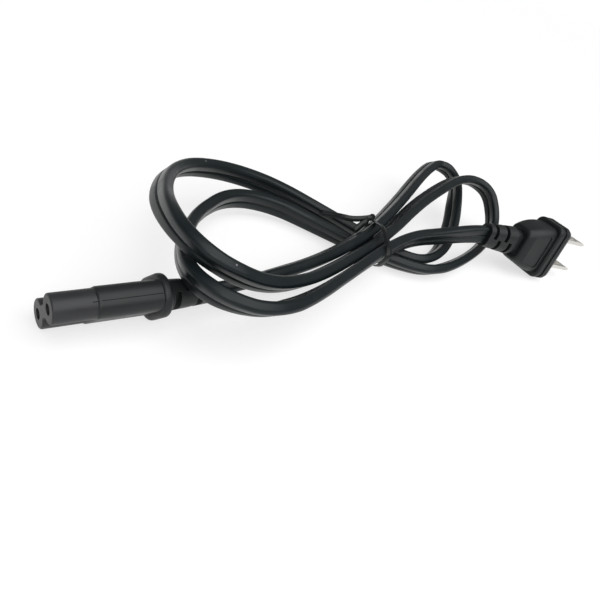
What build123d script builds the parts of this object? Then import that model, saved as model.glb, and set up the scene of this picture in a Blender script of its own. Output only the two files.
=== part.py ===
"""Power cord of about one metre: a two-pole appliance connector and a flat two-blade mains plug
on one twin flex, laid in a figure of eight and held by a twist tie.

Millimetres, +Z up. The origin lies on the floor under the middle of the two end pieces,
and +X runs from the connector towards the plug.
"""

import math
import os

from build123d import *

# Standard two-pole connector: pin pitch and pin hole, with the hard nose around them
PIN_PITCH = 8.6
PIN_HOLE_DIAMETER = 2.8
NOSE_LOBE_RADIUS = 3.65
NOSE_WAIST = 3.3
NOSE_WAIST_FILLET = 0.8
NOSE_LENGTH = 9.8
NOSE_EDGE = 0.5
INSERT_TAIL = 6.0
FRONT_WALL = 2.2

# Sprung contact tubes inside the connector
CONTACT_OUTER_DIAMETER = 3.8
CONTACT_INNER_DIAMETER = 2.5
CONTACT_DEPTH = 9.6
CONTACT_BACK = 1.4
CONTACT_SLIT = 0.5
CRIMP_WIDTH = 2.8
CRIMP_HEIGHT = 1.8
CRIMP_LENGTH = 5.0
CONTACT_CLEARANCE = 0.1

# Soft overmould of the connector: sleeve, collar and slotted boot
SLEEVE_WIDTH = 16.6
SLEEVE_THICKNESS = 7.8
SLEEVE_CORNER = 3.4
SLEEVE_LENGTH = 16.0
SLEEVE_EDGE = 0.9
COLLAR_WIDTH = 17.2
COLLAR_THICKNESS = 11.2
COLLAR_LENGTH = 2.5
COLLAR_EDGE = 1.0
CONNECTOR_BOOT_LENGTH = 13.7
CONNECTOR_BOOT_WIDTH = 13.0
CONNECTOR_BOOT_THICKNESS = 8.0
CONNECTOR_BOOT_SLOTS = 2
CONNECTOR_BOOT_PITCH = 6.6
CONNECTOR_BOOT_START = 1.4

# Ends shared by both boots, which are sized to the flex that leaves them
BOOT_END_WIDTH = 9.8
BOOT_END_THICKNESS = 6.7
BOOT_CORE_WIDTH = 8.2
BOOT_CORE_THICKNESS = 4.4
BOOT_SLOT = 1.8

# Standard two-blade plug: blades and the hard bridge that carries them
BLADE_SPACING = 12.7
BLADE_WIDTH = 6.35
BLADE_THICKNESS = 1.5
BLADE_REACH = 16.5
BLADE_TAIL = 12.0
BLADE_CORNER = 0.9
BLADE_TIP = 1.6
BLADE_TIP_BEVEL = 0.45
BLADE_HOLE_DIAMETER = 3.2
BLADE_HOLE_FROM_TIP = 4.6
BRIDGE_WIDTH = 19.0
BRIDGE_THICKNESS = 7.9
BRIDGE_CORNER = 1.4
BRIDGE_DEPTH = 5.0

# Soft overmould of the plug: head, tapering grip and slotted boot
HEAD_WIDTH = 24.7
HEAD_THICKNESS = 15.4
HEAD_CORNER = 3.4
HEAD_DEPTH = 8.4
HEAD_EDGE = 1.0
FACE_INSET = 1.1
FACE_TAPER = 2.4
LIP_DEPTH = 4.4
LIP_GROOVE_WIDTH = 1.5
LIP_GROOVE_DEPTH = 0.5
GRIP_LENGTH = 14.6
GRIP_START_WIDTH = 21.4
GRIP_START_THICKNESS = 12.8
GRIP_MIDDLE_WIDTH = 20.2
GRIP_MIDDLE_THICKNESS = 14.0
GRIP_MIDDLE_DEPTH = 14.0
GRIP_END_WIDTH = 14.4
GRIP_END_THICKNESS = 10.8
GRIP_CORNER = 3.6
GRIP_SHOULDER = 1.6
PANEL_MARGIN = 2.2
PANEL_CORNER = 1.6
PANEL_DEPTH = 0.6
NECK_LENGTH = 4.2
NECK_WIDTH = 10.2
NECK_THICKNESS = 6.2
PLUG_BOOT_LENGTH = 14.8
PLUG_BOOT_WIDTH = 12.0
PLUG_BOOT_THICKNESS = 8.8
PLUG_BOOT_SLOTS = 2
PLUG_BOOT_PITCH = 6.1
PLUG_BOOT_START = 1.6

# Twin flex: two round cores side by side, drawn as one round tube of the same section area
CORE_DIAMETER = 3.6
CORD_DIAMETER = CORE_DIAMETER * math.sqrt(2)
CORD_LEAD = 7.0

# Twist tie: a narrow ribbon round the five strands in the middle of the hank
TIE_WIDTH = 1.8
TIE_THICKNESS = 0.7
TIE_CORNER = 2.2
TIE_TAIL_DIAMETER = 1.3
TIE_X = 2.0
TIE_Y = 10.0
TIE_ACROSS = Vector(0.45, 0.89, 0)
TIE_OUTLINE = [(-13.5, 15.4), (15.2, 15.4), (21.4, 6.8), (20.0, 0.4), (-0.8, 0.4), (-13.4, 10.3)]
TIE_TAILS = [
    [(7.0, 20.0, 15.2), (2.5, 19.2, 16.0), (-5.5, 21.2, 15.0), (-9.0, 23.7, 14.4), (-12.0, 30.0, 11.8)],
    [(2.5, 19.2, 16.0), (-4.5, 18.0, 14.6)],
]

# Where the end pieces lie: middle of the mating face, then the turns about Y, Z and their own axis
CONNECTOR_X = -116.35
CONNECTOR_Y = -2.8
CONNECTOR_Z = 6.96
CONNECTOR_RISE = 2.2
CONNECTOR_LEAN = 42.0
PLUG_X = 99.45
PLUG_Y = -2.0
PLUG_Z = 12.58
PLUG_RISE = 3.9
PLUG_YAW = 12.4
PLUG_LEAN = 6.3

connector_axis = Vector(1, 0, 0).rotate(Axis.Y, -CONNECTOR_RISE)
connector_upright = Vector(0, 0, 1).rotate(Axis.Y, -CONNECTOR_RISE)
connector_long = connector_upright.rotate(Axis((0, 0, 0), connector_axis), CONNECTOR_LEAN)
connector_face = Vector(CONNECTOR_X, CONNECTOR_Y, CONNECTOR_Z)
connector = Plane(origin=connector_face, x_dir=connector_long, z_dir=connector_axis)

plug_axis = Vector(-1, 0, 0).rotate(Axis.Y, PLUG_RISE).rotate(Axis.Z, -PLUG_YAW)
plug_upright = Vector(0, 0, 1).rotate(Axis.Y, PLUG_RISE).rotate(Axis.Z, -PLUG_YAW)
plug_long = plug_upright.rotate(Axis((0, 0, 0), plug_axis), PLUG_LEAN)
plug_face = Vector(PLUG_X, PLUG_Y, PLUG_Z)
plug = Plane(origin=plug_face, x_dir=plug_long, z_dir=plug_axis)

# Depths behind the two mating faces
INSERT_LENGTH = NOSE_LENGTH + INSERT_TAIL
CONTACT_START = FRONT_WALL + CONTACT_CLEARANCE
SLEEVE_END = NOSE_LENGTH + SLEEVE_LENGTH
COLLAR_END = SLEEVE_END + COLLAR_LENGTH
CONNECTOR_END = COLLAR_END + CONNECTOR_BOOT_LENGTH
GRIP_END = HEAD_DEPTH + GRIP_LENGTH
NECK_END = GRIP_END + NECK_LENGTH
PLUG_END = NECK_END + PLUG_BOOT_LENGTH

connector_depth = Axis(connector.origin, connector.z_dir)
plug_depth = Axis(plug.origin, plug.z_dir)
GRIP_SECTIONS = [
    (HEAD_DEPTH, GRIP_START_WIDTH, GRIP_START_THICKNESS),
    (GRIP_MIDDLE_DEPTH, GRIP_MIDDLE_WIDTH, GRIP_MIDDLE_THICKNESS),
    (GRIP_END, GRIP_END_WIDTH, GRIP_END_THICKNESS),
]
PANEL_START = HEAD_DEPTH + PANEL_MARGIN
PANEL_END = GRIP_END - PANEL_MARGIN
PANEL_START_WIDTH = GRIP_MIDDLE_WIDTH - 2 * PANEL_MARGIN
PANEL_END_WIDTH = GRIP_END_WIDTH - PANEL_MARGIN
PIN_PLACES = [(-PIN_PITCH / 2, 0), (PIN_PITCH / 2, 0)]
BLADE_PLACES = [(-BLADE_SPACING / 2, 0), (BLADE_SPACING / 2, 0)]

# Route of the flex from the connector's boot to the plug's boot, through the figure of eight
CORD_POINTS = [
    (-54.5, -0.5, 9.7),
    (-30.5, 4.3, 10.3),
    (-0.5, 15.4, 11.3),
    (31.5, 32.9, 13.2),
    (57.5, 48.5, 16.2),
    (71.0, 55.5, 17.2),
    (79.7, 59.1, 17.3),
    (85.9, 55.8, 16.8),
    (87.4, 49.0, 15.6),
    (79.5, 39.1, 12.7),
    (61.5, 23.7, 7.4),
    (42.5, 11.7, 4.7),
    (28.5, 8.4, 4.2),
    (18.0, 12.7, 4.2),
    (9.0, 22.9, 4.3),
    (-2.5, 37.1, 5.8),
    (-20.5, 49.1, 9.6),
    (-43.0, 51.5, 13.9),
    (-64.0, 42.9, 18.2),
    (-78.5, 25.3, 21.3),
    (-83.1, 6.1, 22.2),
    (-77.0, -6.5, 20.6),
    (-64.5, -12.1, 17.8),
    (-48.5, -9.9, 15.1),
    (-22.5, 0.5, 12.1),
    (7.5, 13.5, 11.5),
    (35.5, 27.3, 14.5),
    (57.5, 35.9, 18.4),
    (73.5, 40.3, 20.9),
    (84.5, 39.5, 20.8),
    (91.5, 34.9, 17.3),
    (93.3, 28.3, 11.8),
    (88.5, 21.9, 7.1),
    (75.5, 14.7, 4.6),
    (51.5, 6.0, 4.3),
    (28.5, 1.5, 4.2),
    (13.5, 5.7, 4.2),
    (2.0, 16.7, 4.2),
    (-9.0, 31.7, 4.5),
    (-23.5, 43.1, 6.0),
    (-42.5, 43.5, 7.6),
    (-61.0, 31.3, 9.0),
    (-76.5, 11.5, 13.2),
    (-83.5, -5.1, 16.8),
    (-79.5, -15.5, 17.2),
    (-68.5, -20.9, 16.6),
    (-53.5, -18.3, 15.3),
    (-26.5, -7.4, 12.9),
    (-0.5, 4.1, 11.6),
    (19.5, 10.5, 12.4),
    (35.5, 10.7, 13.8),
]

os.makedirs("parts", exist_ok=True)


def boot_slots(plane, first_side, start, pitch, count):
    """Half-ring slots cut in turn from two opposite sides, which let the boot bend."""
    for side, first in ((first_side, start), (-first_side, start + pitch / 2)):
        for index in range(count):
            with BuildSketch(plane.offset(first + index * pitch)) as slot:
                with Locations(side * COLLAR_WIDTH):
                    Rectangle(2 * COLLAR_WIDTH, 2 * COLLAR_WIDTH)
                SlotOverall(BOOT_CORE_WIDTH, BOOT_CORE_THICKNESS, mode=Mode.SUBTRACT)
            extrude(slot.sketch, amount=BOOT_SLOT, mode=Mode.SUBTRACT)


# Hard insert of the connector: the nose that enters the appliance, with a cavity behind each hole
with BuildPart() as connector_insert:
    with BuildSketch(connector) as nose_outline:
        with Locations(*PIN_PLACES):
            Circle(NOSE_LOBE_RADIUS)
        Rectangle(PIN_PITCH, NOSE_WAIST)
        fillet(nose_outline.vertices(), NOSE_WAIST_FILLET)
    extrude(amount=INSERT_LENGTH)
    mouth = connector_insert.faces().sort_by(connector_depth)[0]
    fillet(mouth.edges(), NOSE_EDGE)
    with BuildSketch(connector):
        with Locations(*PIN_PLACES):
            Circle(PIN_HOLE_DIAMETER / 2)
    extrude(amount=FRONT_WALL, mode=Mode.SUBTRACT)
    with BuildSketch(connector.offset(FRONT_WALL)):
        with Locations(*PIN_PLACES):
            Circle(CONTACT_OUTER_DIAMETER / 2 + CONTACT_CLEARANCE)
    extrude(amount=INSERT_LENGTH - FRONT_WALL, mode=Mode.SUBTRACT)
connector_insert.part.label = "connector_insert"
export_step(connector_insert.part, "parts/connector_insert.step")

# Sprung contacts: a slit tube towards the mouth, a closed back and a crimped tail
contacts = []
for number, place in enumerate(PIN_PLACES, start=1):
    with BuildPart() as contact:
        with BuildSketch(connector.offset(CONTACT_START)):
            with Locations(place):
                Circle(CONTACT_OUTER_DIAMETER / 2)
        extrude(amount=CONTACT_DEPTH + CONTACT_BACK)
        with BuildSketch(connector.offset(CONTACT_START)):
            with Locations(place):
                Circle(CONTACT_INNER_DIAMETER / 2)
                Rectangle(CONTACT_SLIT, CONTACT_OUTER_DIAMETER, align=(Align.CENTER, Align.MIN))
        extrude(amount=CONTACT_DEPTH, mode=Mode.SUBTRACT)
        with BuildSketch(connector.offset(CONTACT_START + CONTACT_DEPTH + CONTACT_BACK)):
            with Locations(place):
                Rectangle(CRIMP_WIDTH, CRIMP_HEIGHT)
        extrude(amount=CRIMP_LENGTH)
    contact.part.label = f"connector_contact_{number}"
    export_step(contact.part, f"parts/connector_contact_{number}.step")
    contacts.append(contact.part)

# Soft overmould of the connector, moulded over the insert and the crimped tails
with BuildPart() as connector_overmould:
    with BuildSketch(connector.offset(SLEEVE_END)):
        SlotOverall(COLLAR_WIDTH, COLLAR_THICKNESS)
    extrude(amount=COLLAR_LENGTH)
    rims = connector_overmould.faces().sort_by(connector_depth)
    fillet(rims[0].edges() + rims[-1].edges(), COLLAR_EDGE)
    with BuildSketch(connector.offset(NOSE_LENGTH)):
        RectangleRounded(SLEEVE_WIDTH, SLEEVE_THICKNESS, SLEEVE_CORNER)
    extrude(amount=SLEEVE_LENGTH)
    shoulder = connector_overmould.faces().sort_by(connector_depth)[0]
    fillet(shoulder.edges(), SLEEVE_EDGE)
    with BuildSketch(connector.offset(COLLAR_END)):
        SlotOverall(CONNECTOR_BOOT_WIDTH, CONNECTOR_BOOT_THICKNESS)
    with BuildSketch(connector.offset(CONNECTOR_END)):
        SlotOverall(BOOT_END_WIDTH, BOOT_END_THICKNESS)
    loft()
    boot_start = COLLAR_END + CONNECTOR_BOOT_START
    boot_slots(connector, Vector(0, 1), boot_start, CONNECTOR_BOOT_PITCH, CONNECTOR_BOOT_SLOTS)
    add([connector_insert.part] + contacts, mode=Mode.SUBTRACT)
    with BuildSketch(connector.offset(FRONT_WALL)):
        with Locations(*PIN_PLACES):
            Circle(CONTACT_OUTER_DIAMETER / 2 + CONTACT_CLEARANCE)
    extrude(amount=CONTACT_CLEARANCE + CONTACT_DEPTH + CONTACT_BACK, mode=Mode.SUBTRACT)
connector_overmould.part.label = "connector_overmould"
export_step(connector_overmould.part, "parts/connector_overmould.step")

# Blades of the plug: flat strips with bevelled tips, a round hole each and a tail inside the plug
blades = []
for number, place in enumerate(BLADE_PLACES, start=1):
    middle = Plane(origin=plug.from_local_coords(place), x_dir=plug.y_dir, z_dir=plug.x_dir)
    with BuildPart() as blade:
        with BuildSketch(middle) as strip:
            with Locations((0, -BLADE_REACH)):
                Rectangle(BLADE_WIDTH, BLADE_REACH + BLADE_TAIL, align=(Align.CENTER, Align.MIN))
            chamfer(strip.vertices().group_by(plug_depth)[0], BLADE_CORNER)
            with Locations((0, BLADE_HOLE_FROM_TIP - BLADE_REACH)):
                Circle(BLADE_HOLE_DIAMETER / 2, mode=Mode.SUBTRACT)
        extrude(amount=BLADE_THICKNESS / 2, both=True)
        tip = blade.faces().sort_by(plug_depth)[0]
        broad = tip.edges().group_by(Edge.length)[-1]
        chamfer(broad, length=BLADE_TIP_BEVEL, length2=BLADE_TIP, reference=tip)
    blade.part.label = f"plug_blade_{number}"
    export_step(blade.part, f"parts/plug_blade_{number}.step")
    blades.append(blade.part)

# Hard bridge that holds the blades, flush with the plug's face
with BuildPart() as plug_bridge:
    with BuildSketch(plug):
        RectangleRounded(BRIDGE_WIDTH, BRIDGE_THICKNESS, BRIDGE_CORNER)
    extrude(amount=BRIDGE_DEPTH)
    add(blades, mode=Mode.SUBTRACT)
plug_bridge.part.label = "plug_bridge"
export_step(plug_bridge.part, "parts/plug_bridge.step")

# Soft overmould of the plug: a broad head, a tapering grip with finger panels, a neck and a slotted boot
with BuildPart() as plug_overmould:
    with BuildSketch(plug):
        RectangleRounded(HEAD_WIDTH, HEAD_THICKNESS, HEAD_CORNER)
    extrude(amount=HEAD_DEPTH)
    ends = plug_overmould.faces().sort_by(plug_depth)
    fillet(ends[-1].edges(), HEAD_EDGE)
    chamfer(ends[0].edges(), length=FACE_INSET, length2=FACE_TAPER, reference=ends[0])
    face = plug_overmould.faces().sort_by(plug_depth)[0]
    fillet(face.edges(), HEAD_EDGE)
    with BuildSketch(plug.offset(LIP_DEPTH)):
        Rectangle(2 * HEAD_WIDTH, 2 * HEAD_THICKNESS)
        RectangleRounded(
            HEAD_WIDTH - 2 * LIP_GROOVE_DEPTH,
            HEAD_THICKNESS - 2 * LIP_GROOVE_DEPTH,
            HEAD_CORNER - LIP_GROOVE_DEPTH,
            mode=Mode.SUBTRACT,
        )
    extrude(amount=LIP_GROOVE_WIDTH, mode=Mode.SUBTRACT)
    for depth, width, thickness in GRIP_SECTIONS:
        with BuildSketch(plug.offset(depth)):
            RectangleRounded(width, thickness, GRIP_CORNER)
    loft()
    shoulder = plug_overmould.faces().sort_by(plug_depth)[-1]
    fillet(shoulder.edges(), GRIP_SHOULDER)
    for side in (1, -1):
        broad_face = Plane(
            origin=plug.from_local_coords((0, side * GRIP_MIDDLE_THICKNESS / 2)),
            x_dir=plug.x_dir,
            z_dir=plug.y_dir * side,
        )
        with BuildSketch(broad_face) as panel:
            with BuildLine():
                Polyline(
                    (-PANEL_START_WIDTH / 2, -side * PANEL_START),
                    (PANEL_START_WIDTH / 2, -side * PANEL_START),
                    (PANEL_END_WIDTH / 2, -side * PANEL_END),
                    (-PANEL_END_WIDTH / 2, -side * PANEL_END),
                    close=True,
                )
            make_face()
            fillet(panel.vertices(), PANEL_CORNER)
        extrude(amount=PANEL_DEPTH, both=True, mode=Mode.SUBTRACT)
    with BuildSketch(plug.offset(GRIP_END)):
        SlotOverall(NECK_WIDTH, NECK_THICKNESS)
    extrude(amount=NECK_LENGTH)
    with BuildSketch(plug.offset(NECK_END)):
        SlotOverall(PLUG_BOOT_WIDTH, PLUG_BOOT_THICKNESS)
    with BuildSketch(plug.offset(PLUG_END)):
        SlotOverall(BOOT_END_WIDTH, BOOT_END_THICKNESS)
    loft()
    boot_slots(plug, Vector(-1, 0), NECK_END + PLUG_BOOT_START, PLUG_BOOT_PITCH, PLUG_BOOT_SLOTS)
    add([plug_bridge.part] + blades, mode=Mode.SUBTRACT)
plug_overmould.part.label = "plug_overmould"
export_step(plug_overmould.part, "parts/plug_overmould.step")

# Flex: straight runs joined by arcs as large as the runs allow, square on both boots
route_points = [connector.offset(CONNECTOR_END).origin, connector.offset(CONNECTOR_END + CORD_LEAD).origin]
route_points += [Vector(*point) for point in CORD_POINTS]
route_points += [plug.offset(PLUG_END + CORD_LEAD).origin, plug.offset(PLUG_END).origin]
bend_radii = []
for before, point, after in zip(route_points, route_points[1:], route_points[2:]):
    run_in = point - before
    run_out = after - point
    half_turn = math.radians(run_in.get_angle(run_out)) / 2
    bend_radii.append(0.45 * min(run_in.length, run_out.length) / math.tan(half_turn))

with BuildPart() as cord:
    with BuildLine() as route:
        FilletPolyline(*route_points, radius=bend_radii)
    path = route.wires()[0]
    with BuildSketch(Plane(origin=path @ 0, z_dir=path % 0)):
        Circle(CORD_DIAMETER / 2)
    sweep(path=path)
cord.part.label = "cord"
export_step(cord.part, "parts/cord.step")

section_area = math.pi * CORD_DIAMETER**2 / 4
print(f"flex {path.length:.0f} mm, tightest bend {min(bend_radii):.1f} mm")
print("bend radii", [round(radius, 1) for radius in bend_radii])
print(f"volume {cord.part.volume:.0f} mm3, section times length {section_area * path.length:.0f} mm3")

# Twist tie: a ribbon round the strands, with its twisted tails lying over the hank
tie_plane = Plane(origin=(TIE_X, TIE_Y, 0), x_dir=TIE_ACROSS, z_dir=TIE_ACROSS.cross(Vector(0, 0, 1)))
with BuildPart() as twist_tie:
    with BuildSketch(tie_plane) as ribbon:
        with BuildLine():
            Polyline(*TIE_OUTLINE, close=True)
        make_face()
        fillet(ribbon.vertices(), TIE_CORNER)
        offset(amount=-TIE_THICKNESS, mode=Mode.SUBTRACT)
    extrude(amount=TIE_WIDTH / 2, both=True)
    for tail_points in TIE_TAILS:
        with BuildLine() as tail:
            Polyline(*tail_points)
        with BuildSketch(Plane(origin=tail.wires()[0] @ 0, z_dir=tail.wires()[0] % 0)):
            Circle(TIE_TAIL_DIAMETER / 2)
        sweep(path=tail.wires()[0], transition=Transition.ROUND)
twist_tie.part.label = "twist_tie"
export_step(twist_tie.part, "parts/twist_tie.step")
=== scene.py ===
"""Looks of the power cord: camera, light, the flat twin flex, the twist tie and the finishes.

Metres, in the frame of the solids: +Z up, +X from the connector towards the plug.
"""

import math

import bmesh
import bpy
from mathutils import Matrix, Vector


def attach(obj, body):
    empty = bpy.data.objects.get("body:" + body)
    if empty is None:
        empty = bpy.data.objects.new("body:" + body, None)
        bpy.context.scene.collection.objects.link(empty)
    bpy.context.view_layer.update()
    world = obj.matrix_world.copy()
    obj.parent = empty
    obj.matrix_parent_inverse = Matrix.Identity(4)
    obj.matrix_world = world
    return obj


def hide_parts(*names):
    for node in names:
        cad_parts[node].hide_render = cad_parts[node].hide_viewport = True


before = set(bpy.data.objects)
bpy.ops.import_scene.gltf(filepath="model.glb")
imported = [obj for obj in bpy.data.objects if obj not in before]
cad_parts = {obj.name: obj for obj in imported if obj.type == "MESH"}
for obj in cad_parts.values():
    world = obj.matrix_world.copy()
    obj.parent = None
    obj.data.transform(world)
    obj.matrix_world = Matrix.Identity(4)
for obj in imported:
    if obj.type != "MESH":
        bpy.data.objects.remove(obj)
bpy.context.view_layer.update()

UP = Vector((0.0, 0.0, 1.0))

# Camera: close to the connector, looking down along the lead, and rolled
CAMERA_PLACE = (-0.1559, -0.1060, 0.1028)
CAMERA_HEADING = 41.4
CAMERA_DIP = 33.2
CAMERA_ROLL = 24.8
CAMERA_LENS = 36.0
CAMERA_SENSOR = 36.0
CAMERA_NEAR = 0.005

# Flat twin flex: two squarish cores side by side, with a narrow groove along each broad side
FLEX_WIDTH = 0.0074
FLEX_THICKNESS = 0.0036
FLEX_CORNER = 0.00125
FLEX_CORNER_STEPS = 7
FLEX_GROOVE_DEPTH = 0.00060
FLEX_GROOVE_HALF = 0.00042
FLEX_STEPS = 14

# Flank of the groove, from its floor to the broad side: shares of its half width and of its depth
FLEX_GROOVE_FLANK = [(0.0, 1.0), (0.45, 0.70), (1.0, 0.15), (1.7, 0.0)]

# Route of the flex from the connector's boot to the plug's boot: place, then the turn of its
# upper edge to the left of the run, in degrees
FLEX_ROUTE = [
    (-0.0744, -0.0028, 0.0086, -42),
    (-0.0674, -0.0028, 0.0088, -43),
    (-0.0546, -0.0007, 0.0095, -46),
    (-0.0300, 0.0044, 0.0100, -41),
    (-0.0008, 0.0149, 0.0114, -38),
    (0.0314, 0.0333, 0.0132, -42),
    (0.0571, 0.0490, 0.0161, -46),
    (0.0706, 0.0562, 0.0174, -50),
    (0.0800, 0.0603, 0.0180, -52),
    (0.0866, 0.0562, 0.0175, -35),
    (0.0860, 0.0486, 0.0145, 5),
    (0.0780, 0.0403, 0.0121, 35),
    (0.0612, 0.0239, 0.0072, 42),
    (0.0417, 0.0105, 0.0042, 34),
    (0.0270, 0.0069, 0.0036, 45),
    (0.0164, 0.0116, 0.0041, 42),
    (0.0090, 0.0229, 0.0043, 36),
    (-0.0025, 0.0371, 0.0056, 26),
    (-0.0205, 0.0491, 0.0096, 14),
    (-0.0430, 0.0518, 0.0144, 24),
    (-0.0656, 0.0442, 0.0190, 36),
    (-0.0812, 0.0232, 0.0227, 26),
    (-0.0867, 0.0007, 0.0264, -10),
    (-0.0811, -0.0112, 0.0244, -33),
    (-0.0667, -0.0141, 0.0184, -40),
    (-0.0485, -0.0102, 0.0148, -40),
    (-0.0225, 0.0004, 0.0121, -35),
    (0.0075, 0.0135, 0.0115, -34),
    (0.0351, 0.0280, 0.0147, -48),
    (0.0572, 0.0363, 0.0184, -54),
    (0.0733, 0.0408, 0.0212, -52),
    (0.0848, 0.0399, 0.0215, -54),
    (0.0927, 0.0347, 0.0185, -42),
    (0.0937, 0.0281, 0.0120, -8),
    (0.0890, 0.0212, 0.0070, 12),
    (0.0749, 0.0137, 0.0038, 20),
    (0.0509, 0.0051, 0.0037, 32),
    (0.0274, 0.0005, 0.0036, 48),
    (0.0133, 0.0056, 0.0042, 46),
    (0.0018, 0.0166, 0.0043, 38),
    (-0.0094, 0.0313, 0.0044, 26),
    (-0.0235, 0.0433, 0.0061, 18),
    (-0.0425, 0.0443, 0.0084, 16),
    (-0.0615, 0.0319, 0.0091, 22),
    (-0.0771, 0.0111, 0.0136, 10),
    (-0.0853, -0.0072, 0.0184, -15),
    (-0.0804, -0.0173, 0.0181, -22),
    (-0.0691, -0.0218, 0.0166, -42),
    (-0.0538, -0.0185, 0.0155, -48),
    (-0.0276, -0.0072, 0.0136, -29),
    (-0.0015, 0.0045, 0.0123, -21),
    (0.0193, 0.0106, 0.0124, -18),
    (0.0354, 0.0101, 0.0131, -18),
    (0.0517, 0.0080, 0.0154, -8),
    (0.0585, 0.0070, 0.0154, 6),
]

# Two pale specks on the flex, on the far top and the near bottom of the first loop
SPECKS = [(-0.0532, 0.0466, 0.0199), (-0.0772, -0.0138, 0.0258)]
SPECK_RADIUS = 0.0003
SPECK_CORE = 0.6
SPECK_COLOUR = (0.20, 0.21, 0.20)

# Twist tie: a narrow ribbon with a wire ridge, bowed round the strands in one upright plane
TIE_WIDTH = 0.0021
TIE_THICKNESS = 0.00030
TIE_RIDGE = 0.00055
TIE_PLACE = (-0.0015, 0.0089, 0.0)
TIE_ACROSS = (0.451, 0.892, 0.0)
TIE_BAND_STEPS = 8
TIE_BAND = [
    (0.0146, 0.0132),
    (0.0116, 0.0153),
    (0.0080, 0.0159),
    (0.0046, 0.0173),
    (0.0010, 0.0184),
    (-0.0032, 0.0184),
    (-0.0072, 0.0174),
    (-0.0102, 0.0169),
    (-0.0124, 0.0152),
    (-0.0118, 0.0128),
    (-0.0087, 0.0078),
    (0.0010, 0.0039),
    (0.0086, 0.0004),
    (0.0100, 0.00035),
    (0.0194, 0.00045),
    (0.0222, 0.0010),
    (0.0232, 0.0029),
    (0.0224, 0.0045),
    (0.0169, 0.0113),
]

# Its two ends: twisted round each other at the knot, then lying apart
TIE_KNOT = [(0.0058, 0.0215, 0.0146), (0.0018, 0.0190, 0.0160)]
TIE_KNOT_TURNS = 1.4
TIE_KNOT_RADIUS = 0.0006
TIE_KNOT_STEPS = 10
TIE_TAIL_STEPS = 6
TIE_TAILS = [
    [
        (-0.0018, 0.0196, 0.0152),
        (-0.0057, 0.0206, 0.0146),
        (-0.0080, 0.0224, 0.0142),
        (-0.0101, 0.0253, 0.0132),
        (-0.0137, 0.0286, 0.0120),
    ],
    [
        (-0.0004, 0.0179, 0.0152),
        (-0.0023, 0.0177, 0.0144),
        (-0.0043, 0.0169, 0.0132),
        (-0.0059, 0.0165, 0.0124),
    ],
]

# Seam along both narrow edges of the connector, from the nose to the collar: depth behind the face,
# then distance from the axis
CONNECTOR_FACE = (-0.11635, -0.0028, 0.00696)
CONNECTOR_RISE = 2.2
CONNECTOR_LEAN = 42.0
SEAM_WIDTH = 0.00026
SEAM_HEIGHT = 0.00007
SEAM_STEPS = 8
SEAM_ROUTE = [
    (0.0088, 0.00795),
    (0.0100, 0.00795),
    (0.0102, 0.00812),
    (0.0108, 0.00830),
    (0.0140, 0.00830),
    (0.0200, 0.00830),
    (0.0256, 0.00830),
]

# Black plastics: colour, rubbed colour, roughness, gloss, grain scale and grain depth
RUBBED_GREY = (0.040, 0.042, 0.044)
RUBBED_BLACK = (0.014, 0.015, 0.016)
BLACKS = {
    "overmould": ((0.0120, 0.0138, 0.0148), RUBBED_GREY, 0.46, 0.32, 2600.0, 0.00003),
    "insert": ((0.0230, 0.0240, 0.0260), RUBBED_GREY, 0.46, 0.36, 3200.0, 0.00002),
    "flex": ((0.0080, 0.0120, 0.0135), RUBBED_GREY, 0.36, 0.24, 1800.0, 0.00002),
    "tie": ((0.0070, 0.0085, 0.0092), RUBBED_BLACK, 0.36, 0.26, 900.0, 0.00001),
    # The seam's finish is darker than the overmould: painted shade that stands in for a groove along
    # the parting line
    "seam_painted_shade": ((0.0035, 0.0040, 0.0045), RUBBED_BLACK, 0.65, 0.15, 2600.0, 0.00003),
}
PLASTIC_CLOUD = 140.0
PLASTIC_CLOUD_DETAIL = 5.0
PLASTIC_DARK = 0.7
PLASTIC_PALE = 1.3
PLASTIC_EDGE = 0.0004
PLASTIC_WEAR = 0.6
PLASTIC_SHEEN = 0.06
PLASTIC_GRAIN = 0.35

# Bright metals: colour, stained colour and roughness
NICKEL_PLATE = ((0.80, 0.78, 0.74), (0.62, 0.60, 0.56), 0.26)
CONTACT_BRASS = ((0.80, 0.60, 0.28), (0.60, 0.42, 0.18), 0.30)
METAL_CLOUD = 260.0
METAL_CLOUD_DETAIL = 4.0
METAL_EDGE = 0.0002
METAL_WEAR = 0.7
METAL_SHEEN_DOWN = 0.08
METAL_SHEEN_UP = 0.10
METAL_GRAIN = 0.3
METAL_GRAIN_SCALE = 5200.0
METAL_GRAIN_DEPTH = 0.00001

# Shared by the finishes: range of the cloudy noise, detail of the grain, and how well a rounded normal
# matches the plain one on flat ground and on a sharp edge
CLOUD_LOW = 0.3
CLOUD_HIGH = 0.7
GRAIN_DETAIL = 3.0
EDGE_SAMPLES = 6
EDGE_FLAT = 0.98
EDGE_SHARP = 0.70

# Floor, and a low backdrop behind the hank: corners, shade of grey, and how much it glows to the eye
FLOOR = [(-9, -9, 0), (9, -9, 0), (9, 9, 0), (-9, 9, 0)]
FLOOR_GREY = 0.36
FLOOR_GLOW = 0.66
BACKDROP = [(-2, 8, -1), (8, -2, -1), (8, -2, 0.2), (-2, 8, 0.2)]
BACKDROP_GREY = 0.6
BACKDROP_GLOW = 1.0
STAGE_ROUGHNESS = 0.8

# Light: a broad soft ceiling light from the near side, a lamp beside the camera, and a surround that
# looks white but sheds little light
CEILING_PLACE = (0.15, -0.55, 0.95)
CEILING_POWER = 2.6
CEILING_SPREAD = 70.0
LAMP_PLACE = (-0.55, -0.6, 0.45)
LAMP_POWER = 2.0
LAMP_SIZE = 0.4
SURROUND_LIGHT = 0.22
SURROUND_LOOK = 1.0


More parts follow.
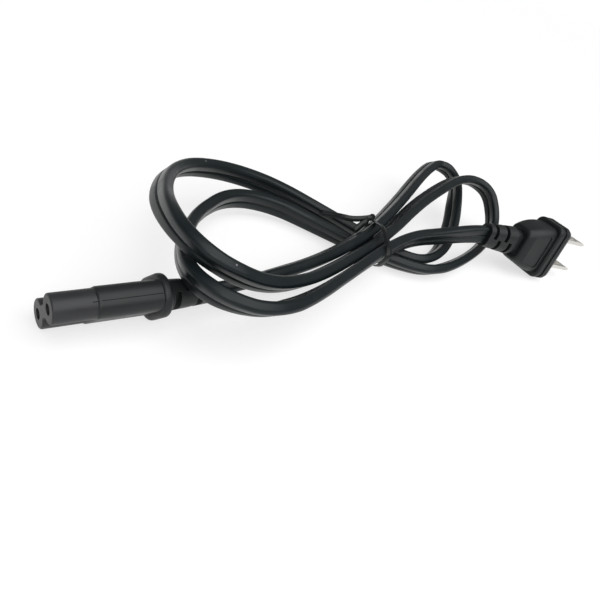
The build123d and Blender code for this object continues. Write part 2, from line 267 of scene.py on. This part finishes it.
def sweep(line, width_ways, outline, closed=False):
    """Points and faces of an outline carried along a line, its width turned as given at each place."""
    rows = len(line)
    count = len(outline)
    points = []
    for index, place in enumerate(line):
        before = line[index - 1] if closed or index > 0 else place
        after = line[(index + 1) % rows] if closed or index < rows - 1 else place
        run = (after - before).normalized()
        width_way = (width_ways[index] - run * width_ways[index].dot(run)).normalized()
        thick_way = run.cross(width_way)
        for across, through in outline:
            points.append(place + width_way * across + thick_way * through)
    faces = []
    for row in range(rows if closed else rows - 1):
        here = row * count
        there = (row + 1) % rows * count
        for step in range(count):
            onward = (step + 1) % count
            faces.append((here + step, here + onward, there + onward, there + step))
    if not closed:
        faces.append(tuple(range(count)))
        faces.append(tuple(range((rows - 1) * count, rows * count)))
    return points, faces


def shown(name, data):
    """New object in the scene."""
    piece = bpy.data.objects.new(name, data)
    bpy.context.scene.collection.objects.link(piece)
    return piece


def smooth_piece(name, sweeps, finish):
    """One smoothly shaded piece made of several sweeps."""
    points = []
    faces = []
    for sweep_points, sweep_faces in sweeps:
        faces += [tuple(len(points) + corner for corner in face) for face in sweep_faces]
        points += sweep_points
    mesh = bpy.data.meshes.new(name)
    mesh.from_pydata(points, [], faces)
    shell = bmesh.new()
    shell.from_mesh(mesh)
    bmesh.ops.recalc_face_normals(shell, faces=shell.faces)
    shell.to_mesh(mesh)
    shell.free()
    mesh.shade_smooth()
    mesh.materials.append(finish)
    piece = shown(name, mesh)
    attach(piece, "root")
    return piece


def spline_points(points, steps, closed=False):
    """Points along the smooth NURBS line that has the given control points."""
    curve = bpy.data.curves.new("route_line", "CURVE")
    curve.dimensions = "3D"
    spline = curve.splines.new("NURBS")
    spline.points.add(len(points) - 1)
    for control, point in zip(spline.points, points):
        control.co = (*point[:3], 1.0)
    spline.order_u = 3
    spline.use_cyclic_u = closed
    spline.use_endpoint_u = not closed
    spline.resolution_u = steps
    carrier = shown("route_line", curve)
    bpy.context.view_layer.update()
    line = bpy.data.meshes.new_from_object(carrier)
    places = [vertex.co.copy() for vertex in line.vertices]
    bpy.data.objects.remove(carrier)
    bpy.data.meshes.remove(line)
    return places


def along(values, share):
    """Value at a share from 0 to 1 of an evenly spaced list."""
    place = share * (len(values) - 1)
    low = min(int(place), len(values) - 2)
    return values[low] + (values[low + 1] - values[low]) * (place - low)


def flex_outline():
    """Outline across the flex: width along the first axis, thickness along the second."""
    top = FLEX_THICKNESS / 2
    right = []
    for across, depth in FLEX_GROOVE_FLANK:
        right.append((across * FLEX_GROOVE_HALF, top - depth * FLEX_GROOVE_DEPTH))
    for step in range(FLEX_CORNER_STEPS + 1):
        turn = math.pi / 2 * (1 - step / FLEX_CORNER_STEPS)
        across = FLEX_WIDTH / 2 - FLEX_CORNER * (1 - math.cos(turn))
        right.append((across, top - FLEX_CORNER * (1 - math.sin(turn))))
    right += [(across, -through) for across, through in reversed(right)]
    left = [(-across, -through) for across, through in right]
    return right + left[1:-1]


def flex_turns(line):
    """Way of the flex's width at each place of its line, by the turns given with the route."""
    rolls = [point[3] for point in FLEX_ROUTE]
    ways = []
    for index in range(len(line)):
        before = line[max(index - 1, 0)]
        after = line[min(index + 1, len(line) - 1)]
        left = UP.cross(after - before).normalized()
        upright = (after - before).cross(left).normalized()
        roll = math.radians(along(rolls, index / (len(line) - 1)))
        ways.append(upright * math.cos(roll) + left * math.sin(roll))
    return ways


def tie_outline():
    """Outline across the tie: a thin strip that swells over the wire in its middle."""
    half = TIE_WIDTH / 2
    thin = TIE_THICKNESS / 2
    ridge = TIE_RIDGE / 2
    right = [
        (0.0, ridge),
        (0.7 * ridge, 0.8 * ridge),
        (1.3 * ridge, thin),
        (0.93 * half, thin),
        (half, 0.0),
    ]
    upper = [(-across, through) for across, through in reversed(right[1:])] + right
    lower = [(across, -through) for across, through in reversed(upper[1:-1])]
    return upper + lower


def tie_tail(number, tail):
    """One end of the tie: its turns in the knot, then its tail."""
    start, end = (Vector(place) for place in TIE_KNOT)
    side = (end - start).cross(UP).normalized()
    over = side.cross(end - start).normalized()
    places = []
    turns = []
    for step in range(TIE_KNOT_STEPS + 1):
        share = step / TIE_KNOT_STEPS
        turn = math.pi * number + 2 * math.pi * TIE_KNOT_TURNS * share
        spoke = side * math.cos(turn) + over * math.sin(turn)
        places.append(start.lerp(end, share) + spoke * TIE_KNOT_RADIUS)
        turns.append(turn)
    line = spline_points(places + tail, TIE_TAIL_STEPS)
    turns += [turns[-1]] * len(tail)
    ways = []
    for index in range(len(line)):
        turn = along(turns, index / (len(line) - 1))
        ways.append(over * math.cos(turn) - side * math.sin(turn))
    return sweep(line, ways, tie_outline())


def new_material(name):
    """New node material: itself, its nodes, links and main shader."""
    material = bpy.data.materials.new(name)
    material.use_nodes = True
    tree = material.node_tree
    return material, tree.nodes, tree.links, tree.nodes["Principled BSDF"]


def noise(nodes, links, scale, detail):
    """Noise in the object's own space."""
    place = nodes.new("ShaderNodeTexCoord")
    texture = nodes.new("ShaderNodeTexNoise")
    texture.inputs["Scale"].default_value = scale
    texture.inputs["Detail"].default_value = detail
    links.new(place.outputs["Object"], texture.inputs["Vector"])
    return texture.outputs["Fac"]


def ranged(nodes, links, value, low, high, to_low, to_high):
    """Value moved from one range to another."""
    node = nodes.new("ShaderNodeMapRange")
    links.new(value, node.inputs["Value"])
    node.inputs["From Min"].default_value = low
    node.inputs["From Max"].default_value = high
    node.inputs["To Min"].default_value = to_low
    node.inputs["To Max"].default_value = to_high
    return node.outputs["Result"]


def mixed(nodes, links, share, first, second):
    """Colour between two colours, by a share."""
    node = nodes.new("ShaderNodeMix")
    node.data_type = "RGBA"
    links.new(share, node.inputs["Factor"])
    for value, socket in ((first, node.inputs[6]), (second, node.inputs[7])):
        if isinstance(value, tuple):
            socket.default_value = (*value, 1.0)
        else:
            links.new(value, socket)
    return node.outputs[2]


def worn_edges(nodes, links, radius, amount):
    """Share of wear: high on sharp edges, none on flat ground."""
    rounded = nodes.new("ShaderNodeBevel")
    rounded.samples = EDGE_SAMPLES
    rounded.inputs["Radius"].default_value = radius
    plain = nodes.new("ShaderNodeNewGeometry")
    match = nodes.new("ShaderNodeVectorMath")
    match.operation = "DOT_PRODUCT"
    links.new(rounded.outputs["Normal"], match.inputs[0])
    links.new(plain.outputs["Normal"], match.inputs[1])
    return ranged(nodes, links, match.outputs["Value"], EDGE_FLAT, EDGE_SHARP, 0.0, amount)


def grained(nodes, links, shader, scale, depth, strength):
    """Fine bumps on the surface."""
    bump = nodes.new("ShaderNodeBump")
    bump.inputs["Strength"].default_value = strength
    bump.inputs["Distance"].default_value = depth
    links.new(noise(nodes, links, scale, GRAIN_DETAIL), bump.inputs["Height"])
    links.new(bump.outputs["Normal"], shader.inputs["Normal"])


def black_plastic(name, colour, rubbed_colour, roughness, gloss, grain_scale, grain_depth):
    """Dark moulded plastic: fine grain, uneven sheen and paler rubbed edges."""
    material, nodes, links, shader = new_material(name)
    shader.inputs["Specular IOR Level"].default_value = gloss
    cloud = noise(nodes, links, PLASTIC_CLOUD, PLASTIC_CLOUD_DETAIL)
    dark = tuple(channel * PLASTIC_DARK for channel in colour)
    pale = tuple(channel * PLASTIC_PALE for channel in colour)
    ground = mixed(nodes, links, cloud, dark, pale)
    wear = worn_edges(nodes, links, PLASTIC_EDGE, PLASTIC_WEAR)
    links.new(mixed(nodes, links, wear, ground, rubbed_colour), shader.inputs["Base Color"])
    low = roughness - PLASTIC_SHEEN
    high = roughness + PLASTIC_SHEEN
    sheen = ranged(nodes, links, cloud, CLOUD_LOW, CLOUD_HIGH, low, high)
    links.new(sheen, shader.inputs["Roughness"])
    grained(nodes, links, shader, grain_scale, grain_depth, PLASTIC_GRAIN)
    return material


def specked(material):
    """Adds the small pale specks to a finish."""
    nodes = material.node_tree.nodes
    links = material.node_tree.links
    socket = nodes["Principled BSDF"].inputs["Base Color"]
    ground = socket.links[0].from_socket
    core = SPECK_CORE * SPECK_RADIUS
    for place in SPECKS:
        here = nodes.new("ShaderNodeTexCoord")
        away = nodes.new("ShaderNodeVectorMath")
        away.operation = "DISTANCE"
        away.inputs[1].default_value = place
        links.new(here.outputs["Object"], away.inputs[0])
        share = ranged(nodes, links, away.outputs["Value"], SPECK_RADIUS, core, 0.0, 1.0)
        ground = mixed(nodes, links, share, ground, SPECK_COLOUR)
    links.new(ground, socket)


def bright_metal(name, colour, stained_colour, roughness):
    """Plated metal: drawn grain, slight stains and rubbed edges."""
    material, nodes, links, shader = new_material(name)
    shader.inputs["Metallic"].default_value = 1.0
    cloud = noise(nodes, links, METAL_CLOUD, METAL_CLOUD_DETAIL)
    stain = mixed(nodes, links, cloud, stained_colour, colour)
    wear = worn_edges(nodes, links, METAL_EDGE, METAL_WEAR)
    links.new(mixed(nodes, links, wear, stain, colour), shader.inputs["Base Color"])
    low = roughness - METAL_SHEEN_DOWN
    high = roughness + METAL_SHEEN_UP
    sheen = ranged(nodes, links, cloud, CLOUD_LOW, CLOUD_HIGH, low, high)
    links.new(sheen, shader.inputs["Roughness"])
    grained(nodes, links, shader, METAL_GRAIN_SCALE, METAL_GRAIN_DEPTH, METAL_GRAIN)
    return material


def paint(node, finish):
    """Gives a solid of the frame its finish."""
    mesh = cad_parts[node].data
    mesh.materials.clear()
    mesh.materials.append(finish)


def stage_piece(name, corners, grey, glow):
    """Flat white piece of the surroundings that looks a little brighter than its light makes it."""
    mesh = bpy.data.meshes.new(name)
    mesh.from_pydata(corners, [], [(0, 1, 2, 3)])
    material, nodes, links, shader = new_material(name + "_white")
    shader.inputs["Base Color"].default_value = (grey, grey, grey, 1.0)
    shader.inputs["Roughness"].default_value = STAGE_ROUGHNESS
    shader.inputs["Specular IOR Level"].default_value = 0.0
    shader.inputs["Emission Color"].default_value = (1.0, 1.0, 1.0, 1.0)
    rays = nodes.new("ShaderNodeLightPath")
    seen = rays.outputs["Is Camera Ray"]
    for kind in ("Is Glossy Ray", "Is Transmission Ray"):
        either = nodes.new("ShaderNodeMath")
        either.operation = "MAXIMUM"
        links.new(seen, either.inputs[0])
        links.new(rays.outputs[kind], either.inputs[1])
        seen = either.outputs["Value"]
    level = ranged(nodes, links, seen, 0.0, 1.0, 0.0, glow)
    links.new(level, shader.inputs["Emission Strength"])
    mesh.materials.append(material)
    shown(name, mesh)


def lamp(name, kind, place, power):
    """Lamp at a place, aimed at the middle of the hank."""
    data = bpy.data.lights.new(name, kind)
    data.energy = power
    piece = shown(name, data)
    piece.location = place
    piece.rotation_euler = (-Vector(place)).to_track_quat("-Z", "Y").to_euler()
    return data


# Finishes of the solids that show as they are
blacks = {name: black_plastic(name + "_plastic", *values) for name, values in BLACKS.items()}
specked(blacks["flex"])
blade_finish = bright_metal("nickel_plate", *NICKEL_PLATE)
contact_finish = bright_metal("contact_brass", *CONTACT_BRASS)
for node in ("connector_overmould", "plug_overmould", "plug_bridge"):
    paint(node, blacks["overmould"])
for number in (1, 2):
    paint(f"plug_blade_{number}", blade_finish)
    paint(f"connector_contact_{number}", contact_finish)
paint("connector_insert", blacks["insert"])

# Flex: the twin outline carried along the smooth route, turned as the real one lies
flex_line = spline_points(FLEX_ROUTE, FLEX_STEPS)
flex_sweep = sweep(flex_line, flex_turns(flex_line), flex_outline())
flex = smooth_piece("flat_twin_flex", [flex_sweep], blacks["flex"])
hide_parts("cord")

# Twist tie: the closed band, and two ends that leave it at the knot
tie_place = Vector(TIE_PLACE)
tie_across = Vector(TIE_ACROSS).normalized()
band_points = [tie_place + tie_across * across + UP * height for across, height in TIE_BAND]
band_line = spline_points(band_points, TIE_BAND_STEPS, closed=True)
band_ways = [tie_across.cross(UP)] * len(band_line)
tie_sweeps = [sweep(band_line, band_ways, tie_outline(), closed=True)]
for number, tail in enumerate(TIE_TAILS):
    tie_sweeps.append(tie_tail(number, tail))
tie = smooth_piece("twist_tie_ribbon", tie_sweeps, blacks["tie"])
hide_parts("twist_tie")

# Seam of the connector's mould: a low ridge in a darker finish; the dark colour is painted shade that
# stands in for a groove along the parting line
rise = Matrix.Rotation(math.radians(-CONNECTOR_RISE), 3, "Y")
axis = rise @ Vector((1.0, 0.0, 0.0))
long_way = Matrix.Rotation(math.radians(CONNECTOR_LEAN), 3, axis) @ rise @ UP
seam_outline = [
    (-SEAM_WIDTH / 2, -SEAM_HEIGHT),
    (-SEAM_WIDTH / 4, SEAM_HEIGHT / 2),
    (0.0, SEAM_HEIGHT),
    (SEAM_WIDTH / 4, SEAM_HEIGHT / 2),
    (SEAM_WIDTH / 2, -SEAM_HEIGHT),
]
seam_sweeps = []
for side in (1, -1):
    outward = long_way * side
    seam_points = [Vector(CONNECTOR_FACE) + axis * depth + outward * away for depth, away in SEAM_ROUTE]
    seam_line = spline_points(seam_points, SEAM_STEPS)
    seam_ways = [outward.cross(axis)] * len(seam_line)
    seam_sweeps.append(sweep(seam_line, seam_ways, seam_outline))
seam_painted_shade = smooth_piece("connector_seam", seam_sweeps, blacks["seam_painted_shade"])

# Camera
camera_data = bpy.data.cameras.new("camera")
camera_data.lens = CAMERA_LENS
camera_data.sensor_width = CAMERA_SENSOR
camera_data.clip_start = CAMERA_NEAR
camera = shown("camera", camera_data)
aim = (
    Matrix.Rotation(math.radians(CAMERA_HEADING - 90), 4, "Z")
    @ Matrix.Rotation(math.radians(90 - CAMERA_DIP), 4, "X")
    @ Matrix.Rotation(math.radians(CAMERA_ROLL), 4, "Z")
)
camera.matrix_world = Matrix.Translation(CAMERA_PLACE) @ aim
bpy.context.scene.camera = camera

# Floor and backdrop
stage_piece("floor", FLOOR, FLOOR_GREY, FLOOR_GLOW)
stage_piece("backdrop", BACKDROP, BACKDROP_GREY, BACKDROP_GLOW)

# Light
world = bpy.data.worlds.new("surround")
bpy.context.scene.world = world
world.use_nodes = True
sky_nodes = world.node_tree.nodes
sky_links = world.node_tree.links
sky = sky_nodes["Background"]
sky.inputs["Color"].default_value = (1.0, 1.0, 1.0, 1.0)
seen = sky_nodes.new("ShaderNodeLightPath").outputs["Is Camera Ray"]
sky_level = ranged(sky_nodes, sky_links, seen, 0.0, 1.0, SURROUND_LIGHT, SURROUND_LOOK)
sky_links.new(sky_level, sky.inputs["Strength"])
ceiling = lamp("ceiling_light", "SUN", CEILING_PLACE, CEILING_POWER)
ceiling.angle = math.radians(CEILING_SPREAD)
near_lamp = lamp("side_lamp", "AREA", LAMP_PLACE, LAMP_POWER)
near_lamp.size = LAMP_SIZE

bpy.context.scene.view_settings.view_transform = "Standard"
